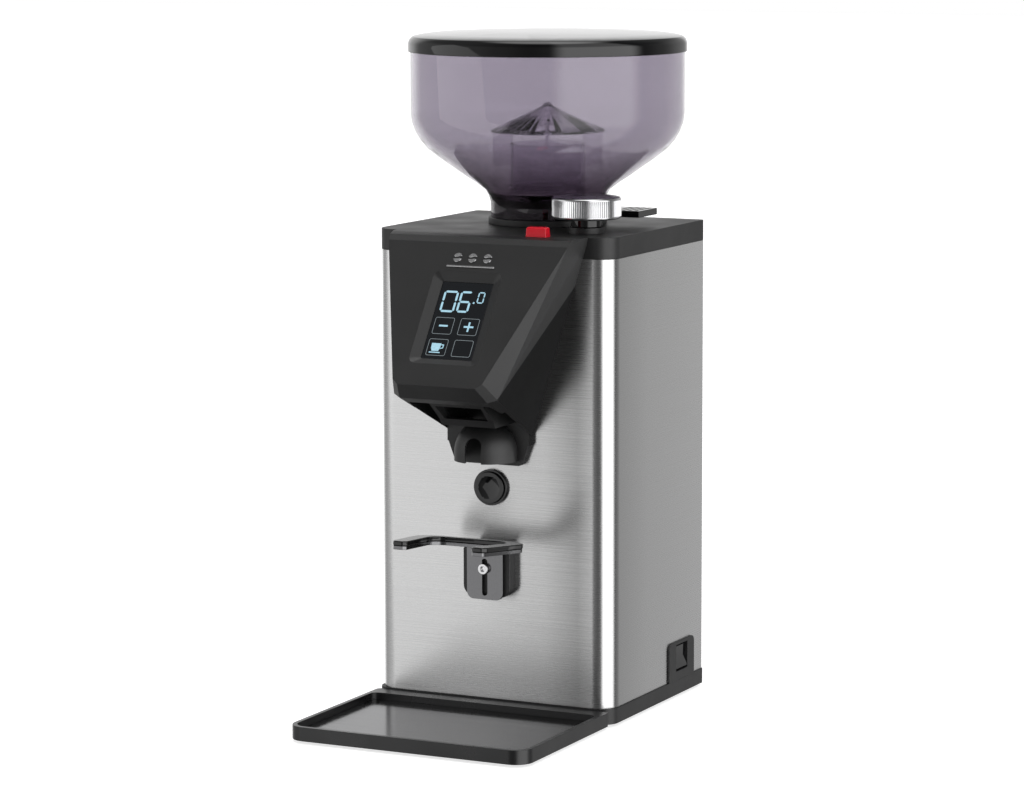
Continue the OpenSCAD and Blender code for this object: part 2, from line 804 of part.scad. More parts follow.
module adjustment_ring() {
    color([0.72, 0.6, 0.35]) on_axis() difference() {
        union() {
            bar(chamber_r - run, holder_low, gear_low + 1);
            translate([0, 0, gear_low]) rotate([0, 0, -45]) linear_extrude(gear_h) gear_outline(ring_teeth);
        }
        bar(17, holder_low - 1, gear_low + gear_h + 1);
        translate([0, 0, holder_low + 6]) cylinder(r1 = 17, r2 = 34, h = gear_low + gear_h - holder_low - 6 + eps);
        for (a = burr_screw_angles) rotate([0, 0, a]) translate([burr_screw_r, 0, 0])
            bar(1.5, holder_low - 1, holder_low + 6);
    }
}

module adjustment_pinion() {
    color([0.8, 0.8, 0.75]) on_knob() difference() {
        translate([0, 0, gear_low]) rotate([0, 0, 135 + 180 / pinion_teeth]) linear_extrude(gear_h)
            gear_outline(pinion_teeth);
        bar(shaft_r, gear_low - 1, gear_low + gear_h + 1);
    }
}

module knob_stem() {
    color([0.05, 0.05, 0.05]) on_knob() {
        bar(shaft_r, gear_low, cap_top + 4.3);
        bar(10.4, cap_top + 4.3, knob_low);
    }
}

module adjustment_knob() {
    ribs = 60;
    color([0.85, 0.85, 0.87]) on_knob() difference() {
        rotate_extrude($fn = fine) polygon([[0, knob_low], [knob_r - 1.6, knob_low], [knob_r, knob_low + 1.6],
            [knob_r, knob_high - 1.2], [knob_r - 1.2, knob_high], [0, knob_high]]);
        for (i = [0:ribs - 1]) rotate([0, 0, 360 / ribs * i]) translate([knob_r + 0.3, 0, 0])
            rotate([0, 0, 45]) box(-0.6, 0.6, -0.6, 0.6, knob_low + 2.4, knob_high - 2.2);
    }
}

// ---- hopper ----

// Hopper's outline from neck to rim, as radii beyond the neck
bowl_shape = [[0, 331], [0.4, 342], [1.7, 346], [4.2, 350], [10.9, 355], [18.6, 360], [27.1, 366],
    [35.7, 372], [43.3, 378], [48.5, 384], [51.9, 390], [54.1, 396], [54.8, 402], [54.8, lid_low + 3]];
bowl_span = 54.8;
bowl_line = [for (p = bowl_shape) [neck_r + p[0] * (hopper_r - neck_r) / bowl_span, p[1]]];

// A line of points moved to its left by t
function moved_in(line, t) = [for (i = [0:len(line) - 1])
    let (along = line[min(i + 1, len(line) - 1)] - line[max(i - 1, 0)])
    line[i] + t / norm(along) * [-along[1], along[0]]];

module hopper() {
    inside = moved_in(bowl_line, hopper_t);
    low = len(inside) - 1;
    color([0.45, 0.42, 0.5, 0.5]) on_axis() difference() {
        rotate_extrude($fn = fine) polygon(concat([[core_r, 331]], bowl_line,
            [[inside[low][0], lid_low + 3]], [for (i = [low - 1:-1:2]) inside[i]], [[core_r, core_top]]));
        gate_slot();
    }
}

// Way through which the shutter slides
module gate_slot() {
    box(-feed_r - 1.7, 50, -gate_w - 0.2, gate_w + 0.2, gate_low, gate_low + gate_t + 0.4);
}

// Black core of the neck, with the shutter's way, a sloping floor and the spigot
module gate_housing() {
    color([0.04, 0.04, 0.04]) on_axis() difference() {
        rotate_extrude($fn = fine) polygon([[feed_r, 330], [spigot_r - 3, 330], [spigot_r - 3, 322],
            [spigot_r, 322], [spigot_r, 326], [spigot_r - 1.2, 326], [spigot_r - 1.2, 328.4],
            [spigot_r, 328.4], [spigot_r, 331], [core_r, 331], [core_r, core_top], [feed_r, core_top - 4]]);
        gate_slot();
    }
}

module hopper_seal() {
    color([0.05, 0.05, 0.05]) on_axis() ring(throat_r - run, spigot_r - 1.2, 326, 328.4);
}

// Conical finger guard on legs over the hopper throat
module bean_guard() {
    rim = 389;
    drum = 25.6;
    drum_in = 23.5;
    color([0.35, 0.33, 0.4, 0.6]) on_axis() union() {
        rotate_extrude($fn = fine) polygon(concat([[0, rim + 20]], arc([0, rim + 15.8], 4.2, 75, 25, 4),
            [[38, rim + 1.6], [39, rim + 0.8], [39, rim], [36.5, rim], [3, rim + 16.4], [0, rim + 17.4]]));
        ring(drum, drum_in, 350, 380);
        for (a = [25:90:295]) rotate([0, 0, a]) {
            rotate([90, 0, 0]) linear_extrude(2.2, center = true)
                polygon([[24, 366], [37.5, 366], [37.5, rim + 0.8], [24, rim + 6.9]]);
            box(drum_in + 0.2, drum - 0.1, -4, 4, 342.3, 350.5);
        }
    }
}

module bean_gate() {
    color([0.04, 0.04, 0.04]) on_axis() difference() {
        box(feed_r + 1, gate_tip, -gate_w, gate_w, gate_low + 0.2, gate_low + gate_t);
        for (s = [-1, 1]) translate([0, s * (handle_w + 5), 0])
            box(neck_r + 1, gate_tip + 1, -5, 5, gate_low - 1, gate_low + 6);
        for (i = [0:3]) box(57 + 4.5 * i, 59 + 4.5 * i, -13, 13, gate_low + gate_t - 0.9, gate_low + 6);
    }
}

module hopper_lid() {
    inner = hopper_r + 0.3;
    color([0.03, 0.03, 0.03]) on_axis() rotate_extrude($fn = fine) polygon([[0, lid_crown],
        [lid_r * 0.3, lid_crown - 0.2], [lid_r * 0.6, lid_crown - 0.8], [lid_r * 0.84, lid_rim + 2],
        [lid_r - 7, lid_rim + 1], [lid_r - 3, lid_rim], [lid_r - 1, lid_rim - 1.9],
        [lid_r, lid_rim - 4.4], [lid_r, lid_low], [inner, lid_low], [inner, lid_low + 3],
        [lid_r - 8, lid_low + 3], [lid_r - 8, lid_rim - 1.8], [0, lid_crown - 2.6]]);
}

// ---- buttons ----

module lock_button() {
    top = cap_top + 6.5;
    color([0.75, 0.02, 0.08]) union() {
        convex([for (x = [lock_x0, lock_x1], y = [lock_y0, lock_y1]) [x, y, cap_top - 2],
            for (x = [lock_x0 + 0.5, lock_x1 - 0.5], y = [lock_y0 + 0.4, lock_y1 - 0.4]) [x, y, top - 1],
            for (x = [lock_x0 + 1.4, lock_x1 - 1.4], y = [lock_y0 + 1.3, lock_y1 - 1.3]) [x, y, top]]);
        translate([lock_x, lock_y, 0]) bar(2, cap_top - 10, cap_top - 2);
    }
}

// Closed coil spring drawn as a sleeve, along Z from z0 to z1
module spring_sleeve(r_out, r_in, z0, z1) {
    ring(r_out, r_in, z0, z1);
}

module lock_spring() {
    color([0.7, 0.7, 0.7]) translate([lock_x, lock_y, 0]) spring_sleeve(3.1, 2.4, cap_top - 6, cap_top - 2.1);
}

module push_button() {
    color([0.03, 0.03, 0.03]) translate([0, 0, button_z]) difference() {
        union() {
            bar_y(button_r, -4.4, 1);
            bar_y(3, 1, 8.4);
        }
        translate([0, -33.2, 0]) sphere(r = 30);
    }
}

module button_spring() {
    color([0.7, 0.7, 0.7]) translate([0, 0, button_z]) difference() {
        bar_y(5, 1.1, 8);
        bar_y(4.2, 0, 9);
    }
}

// ---- fork ----

// Right half of the fork's outline, seen from above, grown by g, behind its root's points
function fork_outline(g, root) = concat(
    root,
    arc([fork_w - 16, -38], 16 + g, 90, 5, 10),
    [[fork_w - 5 + g, -fork_reach + 3]], [[fork_w - 7, -fork_reach - g]], [[26, -fork_reach - g]],
    [[24 - g, -fork_reach + 2]],
    arc([fork_w - 20.5, -38], 10 - g, 0, 90, 8),
    [[0, -28 - g]]);

function whole_fork(g, root) = let (half = fork_outline(g, root))
    concat(half, [for (i = [len(half) - 2:-1:1]) [-half[i][0], half[i][1]]]);

module on_fork() {
    translate([0, tab_y + tab_t, fork_root_z]) rotate([-fork_tilt, 0, 0]) translate([0, -tab_y - tab_t, 0])
        children();
}

module fork() {
    corner = 5;
    tab_top = fork_root_z - fork_t / 2;
    tab = concat([[-tab_w, tab_top], [tab_w, tab_top]], arc([tab_w - corner, tab_low + corner], corner, 0, -90, 6),
        arc([corner - tab_w, tab_low + corner], corner, -90, -180, 6));
    tongue = tab_y + tab_t - 0.4;
    slot_centre = [slot_low + 2, slot_high - 2];
    color([0.6, 0.6, 0.62]) difference() {
        union() {
            translate([0, tab_y + tab_t, 0]) rotate([90, 0, 0]) linear_extrude(tab_t) polygon(tab);
            on_fork() translate([0, 0, -fork_t]) linear_extrude(fork_t)
                polygon(whole_fork(0, [[0, tongue], [tab_w - 0.5, tongue], [tab_w - 0.5, -22]]));
        }
        for (z = slot_centre) translate([0, 0, z]) bar_y(2, -20, 0);
        box(-2, 2, -20, 0, slot_centre[0], slot_centre[1]);
    }
}

module fork_pad() {
    color([0.04, 0.04, 0.04]) on_fork() linear_extrude(pad_t) polygon(whole_fork(0.4, [[0, -21.6]]));
}

module fork_screw() {
    color([0.85, 0.85, 0.87]) translate([0, 0, screw_z]) difference() {
        union() {
            bar_y(3.6, tab_y - 3, tab_y - 0.1);
            bar_y(screw_r, tab_y - 1, 5);
        }
        rotate([90, 0, 0]) translate([0, 0, -tab_y + 1.2]) cylinder(r = 1.9, h = 3, $fn = 6);
    }
}

// ---- drip tray ----

module drip_tray() {
    rim = 3.2;
    ledge = 3;
    back = -13.5;
    color([0.05, 0.05, 0.05]) difference() {
        slab(tray_w, -tray_reach, -0.6, 12, 3, 0, tray_h);
        slab(tray_w - 2 * rim, -tray_reach + rim, back, 9, 5, 3.8, tray_h + 1);
        slab(tray_w - 2 * (rim + ledge), -tray_reach + rim + ledge, back - ledge, 6, 3, 1.6, tray_h);
    }
}

module tray_plate() {
    inset = 3.7;
    color([0.3, 0.3, 0.3]) slab(tray_w - 2 * inset, -tray_reach + inset, -14, 8.5, 4.5, 3.8, 5);
}

module tray_pads() {
    color([0.05, 0.05, 0.05]) for (x = [-70, 70], y = [-112, -18]) translate([x, y, 0])
        rotate_extrude() polygon([[0, -foot_h], [5.5, -foot_h], [6.2, 0], [0, 0]]);
}

// ---- power switch ----

module power_rocker() {
    half = 9.2;
    side = [[-5.5, -3], [0, -4.6], [4, -4.6], [7.2, -7.9], [5.4, 0], [5.6, 7.9], [4, 4.6], [0, 4.6], [-5.5, 3]];
    color([0.03, 0.03, 0.03]) difference() {
        translate([rocker_x, switch_y, switch_z]) rotate([90, 0, 0])
            linear_extrude(2 * half, center = true) polygon(side);
        translate([rocker_x, 0, switch_z]) bar_y(1.5 + run, 60, 160);
    }
}

placed() base_plate();
placed() rubber_feet();
placed() body_shell();
placed() rear_cover();
placed() body_screws();
placed() top_cover();
placed() console_housing();
placed() badge();
placed() display_glass();
placed() display_board();
placed() chute();
placed() button_bezel();
placed() microswitch();
placed() fork_guide();
placed() switch_housing();
placed() power_inlet();
placed() inlet_pins();
placed() hopper_collar();
placed() grinding_chamber();
placed() frame_plate();
placed() support_posts();
placed() motor_housing();
placed() motor_end_bell();
placed() stator_core();
placed() stator_windings();
placed() bearing_outer_races();
placed() bearing_balls();
placed() run_capacitor();
placed() control_board();
placed() drive_shaft();
placed() bearing_inner_races();
placed() rotor();
placed() cooling_fan();
placed() burr_carrier();
placed() lower_burr();
placed() lower_burr_screws();
placed() adjustment_ring();
placed() upper_burr();
placed() upper_burr_screws();
placed() adjustment_knob();
placed() knob_stem();
placed() adjustment_pinion();
placed() hopper();
placed() gate_housing();
placed() bean_guard();
placed() hopper_seal();
placed() bean_gate();
placed() hopper_lid();
placed() lock_button();
placed() lock_spring();
placed() push_button();
placed() button_spring();
placed() fork();
placed() fork_pad();
placed() fork_screw();
placed() drip_tray();
placed() tray_pads();
placed() tray_plate();
placed() power_rocker();
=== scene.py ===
"""Looks of the burr coffee grinder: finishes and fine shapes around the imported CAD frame."""
import json
import math

import bmesh
import bpy
from mathutils import Matrix, Vector


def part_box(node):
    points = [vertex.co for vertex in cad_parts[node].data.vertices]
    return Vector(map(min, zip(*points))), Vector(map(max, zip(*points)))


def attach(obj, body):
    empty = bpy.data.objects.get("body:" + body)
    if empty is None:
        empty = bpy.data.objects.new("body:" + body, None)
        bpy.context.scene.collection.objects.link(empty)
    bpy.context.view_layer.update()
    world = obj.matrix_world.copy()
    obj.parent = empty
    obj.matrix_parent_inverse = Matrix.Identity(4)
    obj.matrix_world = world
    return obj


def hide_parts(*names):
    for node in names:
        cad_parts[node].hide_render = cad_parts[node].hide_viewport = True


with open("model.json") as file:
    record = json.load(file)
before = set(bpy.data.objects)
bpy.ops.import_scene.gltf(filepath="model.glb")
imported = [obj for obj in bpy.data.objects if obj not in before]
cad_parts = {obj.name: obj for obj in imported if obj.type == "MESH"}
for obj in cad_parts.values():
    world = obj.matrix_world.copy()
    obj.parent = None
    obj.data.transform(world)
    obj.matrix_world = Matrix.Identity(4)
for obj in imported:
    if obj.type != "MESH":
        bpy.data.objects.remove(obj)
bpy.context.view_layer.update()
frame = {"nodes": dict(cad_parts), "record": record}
nodes = frame["nodes"]

MM = 0.001
FRONT_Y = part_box("body_shell")[0].y          # plane of the steel front
BASE_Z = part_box("base_plate")[0].z           # lower edge of the base
KNOB = (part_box("adjustment_knob")[0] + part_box("adjustment_knob")[1]) / 2
PANEL_LEAN = math.radians(34.7)              # lean of the console panel from upright

CAMERA_ANGLES = (-26.316, 7.841, 0.146)      # yaw, pitch and roll in degrees
CAMERA_PLACE = (1120.9, -2235.4, 563.9)      # millimetres, measured as at() takes them
CAMERA_LENS = 132.45
CAMERA_SENSOR = 36                           # width in millimetres, as the lens is
CAMERA_REACH = 60                            # farthest metre that it sees


def at(x, y, z):
    """A point in the row frame, from millimetres measured off the steel front and the base's lower edge."""
    return Vector((x * MM, FRONT_Y + y * MM, BASE_Z + z * MM))


# ---- camera ----

def add_camera():
    data = bpy.data.cameras.new("camera")
    camera = bpy.data.objects.new("camera", data)
    bpy.context.scene.collection.objects.link(camera)
    yaw, pitch, roll = (math.radians(a) for a in CAMERA_ANGLES)
    forward = Vector((math.sin(yaw) * math.cos(pitch), math.cos(yaw) * math.cos(pitch), -math.sin(pitch)))
    level = Vector((math.cos(yaw), -math.sin(yaw), 0))
    down = -level.cross(forward)
    right = level * math.cos(roll) + down * math.sin(roll)
    up = level * math.sin(roll) - down * math.cos(roll)
    turn = Matrix((right, up, -forward)).transposed().to_4x4()
    camera.matrix_world = Matrix.Translation(at(*CAMERA_PLACE)) @ turn
    data.lens = CAMERA_LENS
    data.sensor_width = CAMERA_SENSOR
    data.clip_end = CAMERA_REACH
    bpy.context.scene.camera = camera


add_camera()


# ---- node helpers for materials ----

# Painted shade and light across the steel sheet as (place along it, tone), from its left part to its right: dark
# bands about its right-hand bend, and a little lighter further round its side
PAINTED_SHADE_TONES = ((0.0, 1.0), (0.25, 0.98), (0.38, 0.86), (0.452, 0.6), (0.49, 0.85), (0.535, 0.82),
                (0.562, 0.7), (0.7, 0.88), (1.0, 1.05))
PAINTED_SHADE_LEFT, PAINTED_SHADE_RIGHT = -0.09, 0.25      # ends of that part of the sheet, in metres round it
SMOKED_FOOT = 348                            # height in millimetres of the smoked bowl's thick foot
SMOKED_RISE = 0.03                           # metres over which the bowl clears above its foot


class Finish:
    """A material under construction: a Principled shader and the nodes that feed it."""

    def __init__(self, name, color, roughness, metallic=0.0, **sockets):
        self.material = bpy.data.materials.new(name)
        self.material.use_nodes = True
        self.tree = self.material.node_tree
        self.shader = self.tree.nodes["Principled BSDF"]
        self.set("Base Color", (*color, 1))
        self.set("Roughness", roughness)
        self.set("Metallic", metallic)
        for socket, value in sockets.items():
            self.set(socket.replace("_", " "), value)

    def set(self, socket, value):
        self.shader.inputs[socket].default_value = value

    def node(self, kind, **settings):
        made = self.tree.nodes.new(kind)
        for key, value in settings.items():
            setattr(made, key, value)
        return made

    def link(self, out, into):
        self.tree.links.new(out, into)

    def place(self, source="Object", scale=(1, 1, 1), offset=(0, 0, 0)):
        """Texture coordinates, scaled and moved."""
        coord = self.node("ShaderNodeTexCoord")
        mapping = self.node("ShaderNodeMapping")
        mapping.inputs["Scale"].default_value = scale
        mapping.inputs["Location"].default_value = offset
        self.link(coord.outputs[source], mapping.inputs["Vector"])
        return mapping.outputs["Vector"]

    def noise(self, vector, scale, detail=2.0, rough=0.5):
        made = self.node("ShaderNodeTexNoise")
        made.inputs["Scale"].default_value = scale
        made.inputs["Detail"].default_value = detail
        made.inputs["Roughness"].default_value = rough
        self.link(vector, made.inputs["Vector"])
        return made.outputs["Fac"]

    def span(self, value, low, high, from_low=0.3, from_high=0.7):
        """Maps a value onto a range."""
        made = self.node("ShaderNodeMapRange")
        for key, number in (("From Min", from_low), ("From Max", from_high), ("To Min", low), ("To Max", high)):
            made.inputs[key].default_value = number
        self.link(value, made.inputs["Value"])
        return made.outputs["Result"]

    def add(self, first, second, operation="ADD"):
        """Two numbers or sockets, added or put through another operation."""
        made = self.node("ShaderNodeMath", operation=operation)
        for index, value in enumerate((first, second)):
            if isinstance(value, (int, float)):
                made.inputs[index].default_value = value
            else:
                self.link(value, made.inputs[index])
        return made.outputs["Value"]

    def blend(self, value, low, high):
        """A colour between two, by a value from 0 to 1."""
        made = self.node("ShaderNodeMix", data_type="RGBA")
        made.inputs["A"].default_value = (*low, 1)
        made.inputs["B"].default_value = (*high, 1)
        self.link(value, made.inputs["Factor"])
        return made.outputs["Result"]

    def painted_shade(self, shade):
        """Painted shade: deepens the sheet's tone in bands about its right-hand bend, and lightens its side a
        little as painted light.
        """
        split = self.node("ShaderNodeSeparateXYZ")
        self.link(self.place("UV"), split.inputs["Vector"])
        ramp = self.node("ShaderNodeValToRGB")
        self.link(self.span(split.outputs["X"], 0, 1, PAINTED_SHADE_LEFT, PAINTED_SHADE_RIGHT), ramp.inputs["Fac"])
        stops = ramp.color_ramp.elements
        for place, tone in PAINTED_SHADE_TONES:
            stop = stops.new(place)
            stop.color = (tone, tone, tone, 1)
        stops.remove(stops[0])
        stops.remove(stops[-1])
        made = self.node("ShaderNodeMix", data_type="RGBA", blend_type="MULTIPLY")
        made.inputs["Factor"].default_value = 1
        self.link(shade, made.inputs["A"])
        self.link(ramp.outputs["Color"], made.inputs["B"])
        return made.outputs["Result"]

    def bump(self, height, strength, distance):
        made = self.node("ShaderNodeBump")
        made.inputs["Strength"].default_value = strength
        made.inputs["Distance"].default_value = distance
        self.link(height, made.inputs["Height"])
        self.link(made.outputs["Normal"], self.shader.inputs["Normal"])

    def into(self, value, socket):
        self.link(value, self.shader.inputs[socket])


def moulded(name, color, roughness, grain=0.25, spread=0.06, **sockets):
    """Moulded plastic: fine grain, and a faint cloudiness in its gloss."""
    f = Finish(name, color, roughness, **sockets)
    fine = f.noise(f.place(), 2600, 1.0)
    cloud = f.noise(f.place(), 28, 3.0)
    f.into(f.span(cloud, roughness - spread, roughness + spread), "Roughness")
    light = [c * 1.18 for c in color]
    f.into(f.blend(f.span(fine, 0, 1), color, light), "Base Color")
    f.bump(fine, grain, 0.00006)
    return f.material


def glossy(name, color, roughness):
    """Polished plastic or glass: a very slight orange peel and faint handling marks."""
    f = Finish(name, color, roughness)
    marks = f.noise(f.place(), 60, 4.0, 0.6)
    f.into(f.span(marks, roughness * 0.7, roughness * 1.5), "Roughness")
    peel = f.noise(f.place(), 240, 2.0)
    f.bump(peel, 0.05, 0.00005)
    return f.material


def brushed(name, color, roughness, source="UV", long_way=(7, 1500, 1), contrast=0.05, **sockets):
    """Steel brushed along its first texture axis, with painted shade across the sheet where it is UV-mapped."""
    f = Finish(name, color, roughness, 1.0, **sockets)
    coarse = f.noise(f.place(source, long_way), 1, 3.0, 0.7)
    fine = f.noise(f.place(source, tuple(v * 3.1 for v in long_way)), 1, 2.0)
    streaks = f.add(f.add(coarse, 0.6, "MULTIPLY"), f.add(fine, 0.4, "MULTIPLY"))
    level = f.span(streaks, 0, 1, 0.35, 0.65)
    dark = [c * (1 - contrast) for c in color]
    light = [min(1, c * (1 + contrast)) for c in color]
    shade = f.blend(level, dark, light)
    if source == "UV":
        # Painted shade across the UV-mapped steel sheet, darker in bands about its bend
        shade = f.painted_shade(shade)
    f.into(shade, "Base Color")
    f.into(f.span(streaks, roughness - 0.05, roughness + 0.06, 0.35, 0.65), "Roughness")
    f.bump(streaks, 0.05, 0.00003)
    if source == "UV":
        tangent = f.node("ShaderNodeTangent", direction_type="UV_MAP")
        f.into(tangent.outputs["Tangent"], "Tangent")
        f.set("Anisotropic Rotation", 0.25)
    return f.material


def machined(name, color, roughness, scale):
    """Turned, ground or cast metal with an even fine texture."""
    f = Finish(name, color, roughness, 1.0)
    grit = f.noise(f.place(), scale, 3.0, 0.6)
    f.into(f.span(grit, roughness - 0.08, roughness + 0.1), "Roughness")
    f.into(f.blend(f.span(grit, 0, 1), [c * 0.85 for c in color], color), "Base Color")
    f.bump(grit, 0.12, 0.00008)
    return f.material


def glow(name, color, strength):
    """Lit segments and lines behind the display glass."""
    f = Finish(name, (0.01, 0.01, 0.01), 0.4)
    flicker = f.noise(f.place(), 900, 1.0)
    f.set("Emission Color", (*color, 1))
    f.into(f.span(flicker, strength * 0.9, strength * 1.08), "Emission Strength")
    return f.material


def turned_aluminium():
    """Knob top and rim: fine concentric turning marks about the knob's axis."""
    f = Finish("knurled_aluminium", (0.56, 0.56, 0.57), 0.16, 1.0)
    spot = f.place(offset=(-KNOB.x, -KNOB.y, 0))
    split = f.node("ShaderNodeSeparateXYZ")
    f.link(spot, split.inputs["Vector"])
    square = [f.add(split.outputs[axis], split.outputs[axis], "MULTIPLY") for axis in "XY"]
    radius = f.add(f.add(*square), 0.5, "POWER")
    join = f.node("ShaderNodeCombineXYZ")
    f.link(radius, join.inputs["X"])
    rings = f.noise(join.outputs["Vector"], 3500, 1.0)
    f.into(f.span(rings, 0.1, 0.24), "Roughness")
    f.bump(rings, 0.08, 0.00003)
    return f.material


def smoked(name, low, high, bend=1.46):
    """Smoked clear plastic, darker towards the thick foot of the bowl."""
    f = Finish(name, high, 0.03, Transmission_Weight=1.0, IOR=bend)
    split = f.node("ShaderNodeSeparateXYZ")
    f.link(f.place(), split.inputs["Vector"])
    foot = at(0, 0, SMOKED_FOOT).z
    rise = f.span(split.outputs["Z"], 0, 1, foot, foot + SMOKED_RISE)
    f.into(f.blend(rise, low, high), "Base Color")
    dust = f.noise(f.place(), 90, 4.0, 0.7)
    f.into(f.span(dust, 0.015, 0.05), "Roughness")
    flow = f.noise(f.place(scale=(1, 1, 0.4)), 22, 2.0)
    f.bump(flow, 0.03, 0.0002)
    return f.material


finish = {
    "black_plastic": moulded("black_plastic", (0.0125, 0.0125, 0.0128), 0.47),
    "dark_plastic": moulded("dark_plastic", (0.012, 0.012, 0.012), 0.6),
    "gloss_black": glossy("gloss_black", (0.004, 0.004, 0.0045), 0.045),
    "tray_plastic": moulded("tray_plastic", (0.008, 0.008, 0.0085), 0.3, grain=0.12),
    "rubber": moulded("rubber", (0.014, 0.014, 0.014), 0.8, grain=0.5),
    "brushed_steel": brushed("brushed_steel", (0.62, 0.62, 0.62), 0.28, Anisotropic=0.8),
    "polished_steel": machined("polished_steel", (0.72, 0.72, 0.73), 0.18, 900),
    "tray_steel": brushed("tray_steel", (0.085, 0.085, 0.09), 0.14, "Object", (6, 300, 300), 0.08),
    "knurled_aluminium": turned_aluminium(),
    "cast_aluminium": machined("cast_aluminium", (0.6, 0.6, 0.61), 0.45, 300),
    "machine_steel": machined("machine_steel", (0.45, 0.45, 0.46), 0.32, 700),
    "burr_steel": machined("burr_steel", (0.4, 0.4, 0.42), 0.26, 1200),
    "gear_brass": machined("gear_brass", (0.68, 0.47, 0.2), 0.3, 800),
    "copper_wire": brushed("copper_wire", (0.6, 0.22, 0.08), 0.3, "Object", (40, 40, 2200), 0.3),
    "circuit_board": moulded("circuit_board", (0.02, 0.12, 0.05), 0.4),
    "capacitor_case": glossy("capacitor_case", (0.06, 0.07, 0.1), 0.25),
    "display_glass": glossy("display_glass", (0.006, 0.0075, 0.01), 0.07),
    "smoked_clear": smoked("smoked_clear", (0.2, 0.17, 0.205), (0.475, 0.445, 0.5)),
    "red_plastic": glossy("red_plastic", (0.62, 0.003, 0.016), 0.14),
}

slot_of = {part["node"]: part["material_slot"] for part in frame["record"]["subparts"]}
body_of = {node: body for body, members in frame["record"]["behaviour"]["bodies"].items() for node in members}

for name, cad in nodes.items():
    cad.data.materials.clear()
    cad.data.materials.append(finish[slot_of[name]])


# ---- mesh helpers ----

def sharp_from(mesh, degrees):
    for face in mesh.polygons:
        face.use_smooth = True
    mesh.set_sharp_from_angle(angle=math.radians(degrees))


def settle(name, mesh, node, stands_for=True):
    """Links a mesh as a piece that rides with a CAD node's body and takes its slot."""
    piece = bpy.data.objects.new(name, mesh)
    bpy.context.scene.collection.objects.link(piece)
    mesh.materials.clear()
    mesh.materials.append(finish[slot_of[node]])
    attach(piece, body_of[node])
    if stands_for:
        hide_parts(node)
    return piece


def weld(bm):
    """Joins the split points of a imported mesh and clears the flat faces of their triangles."""
    bmesh.ops.remove_doubles(bm, verts=bm.verts, dist=2e-6)
    bmesh.ops.dissolve_limit(bm, angle_limit=math.radians(0.6), verts=bm.verts, edges=bm.edges)


def soften(node, width, segments=2, sharper_than=28, shade=34):
    """A copy of a CAD node with rounded edges."""
    bm = bmesh.new()
    bm.from_mesh(nodes[node].data)
    weld(bm)
    edges = [e for e in bm.edges if len(e.link_faces) == 2
             and e.calc_face_angle(0) > math.radians(sharper_than)]
    bmesh.ops.bevel(bm, geom=edges, offset=width * MM, segments=segments, profile=0.5,
                    affect="EDGES", clamp_overlap=True)
    mesh = bpy.data.meshes.new(node + "_shape")
    bm.to_mesh(mesh)
    bm.free()
    sharp_from(mesh, shade)
    piece = settle(node + "_shape", mesh, node)
    weighted = piece.modifiers.new("flat_faces", "WEIGHTED_NORMAL")
    weighted.keep_sharp = True
    return piece


def lathe(name, node, outline, centre, steps, ribs, shade):
    """Turns an outline of (radius, height) points in millimetres about an upright axis.

    Ribs are (depth, low, high): between the two heights, two steps in every four are cut back by the depth.
    """
    depth, ribs_low, ribs_high = ribs

    def reach_at(radius, height, i):
        cut = ribs_low <= height <= ribs_high and i % 4 > 1
        return (radius - depth if cut else radius) * MM

    bm = bmesh.new()
    rows = []
    for radius, height in outline:
        if radius < 1e-6:
            rows.append([bm.verts.new((0, 0, height * MM))])
            continue
        rows.append([bm.verts.new((reach_at(radius, height, i) * math.cos(2 * math.pi * i / steps),
                                   reach_at(radius, height, i) * math.sin(2 * math.pi * i / steps), height * MM))
                     for i in range(steps)])
    for low, high in zip(rows, rows[1:]):
        for i in range(steps):
            j = (i + 1) % steps
            if len(low) == 1:
                bm.faces.new((low[0], high[j], high[i]))
            elif len(high) == 1:
                bm.faces.new((low[i], low[j], high[0]))
            else:
                bm.faces.new((low[i], low[j], high[j], high[i]))
    bmesh.ops.recalc_face_normals(bm, faces=bm.faces)
    bmesh.ops.translate(bm, vec=centre, verts=bm.verts)
    mesh = bpy.data.meshes.new(name)
    bm.to_mesh(mesh)
    bm.free()
    sharp_from(mesh, shade)
    return settle(name, mesh, node)


def arc(centre, radius, start, end, steps):
    """Points on an arc in an outline, between two angles in degrees."""
    return [(centre[0] + radius * math.cos(math.radians(start + (end - start) * i / steps)),
             centre[1] + radius * math.sin(math.radians(start + (end - start) * i / steps)))
            for i in range(steps + 1)]


# ---- body: steel, covers, base ----

def map_steel(mesh):
    """Texture axes for brushing: the first runs level round the shell, the second straight up."""
    layer = mesh.uv_layers.new(name="brush")
    for face in mesh.polygons:
        on_front = abs(face.center.x) < 0.05 and abs(face.normal.y) > 0.9
        side = 0 if on_front else math.copysign(1, face.center.x)
        for loop in face.loop_indices:
            spot = mesh.vertices[mesh.loops[loop].vertex_index].co
            layer.data[loop].uv = (spot.x + side * (spot.y - FRONT_Y), spot.z)


shell = soften("body_shell", 0.25, 1, 50, 40)
map_steel(shell.data)

for node, width, segments, *angles in (
        ("base_plate", 0.8, 3), ("rear_cover", 0.8, 2), ("top_cover", 0.9, 3), ("console_housing", 0.6, 3, 14, 20),
        ("chute", 0.5, 2), ("badge", 0.12, 1), ("display_glass", 0.25, 2), ("button_bezel", 0.4, 2),
        ("fork_guide", 0.5, 2), ("switch_housing", 0.4, 2), ("power_inlet", 0.3, 2), ("hopper_collar", 0.5, 2),
        ("lock_button", 0.6, 3), ("fork", 0.5, 3), ("fork_pad", 0.9, 3), ("fork_screw", 0.3, 2),
        ("drip_tray", 0.8, 3), ("tray_plate", 0.4, 2), ("bean_gate", 0.4, 2), ("power_rocker", 0.5, 2),
        ("bean_guard", 0.4, 2), ("rubber_feet", 0.5, 2), ("knob_stem", 0.3, 2), ("gate_housing", 0.4, 2),
        ("hopper", 0.4, 2), ("hopper_lid", 0.5, 3), ("push_button", 0.4, 2), ("body_screws", 0.3, 2)):
    soften(node, width, segments, *angles)

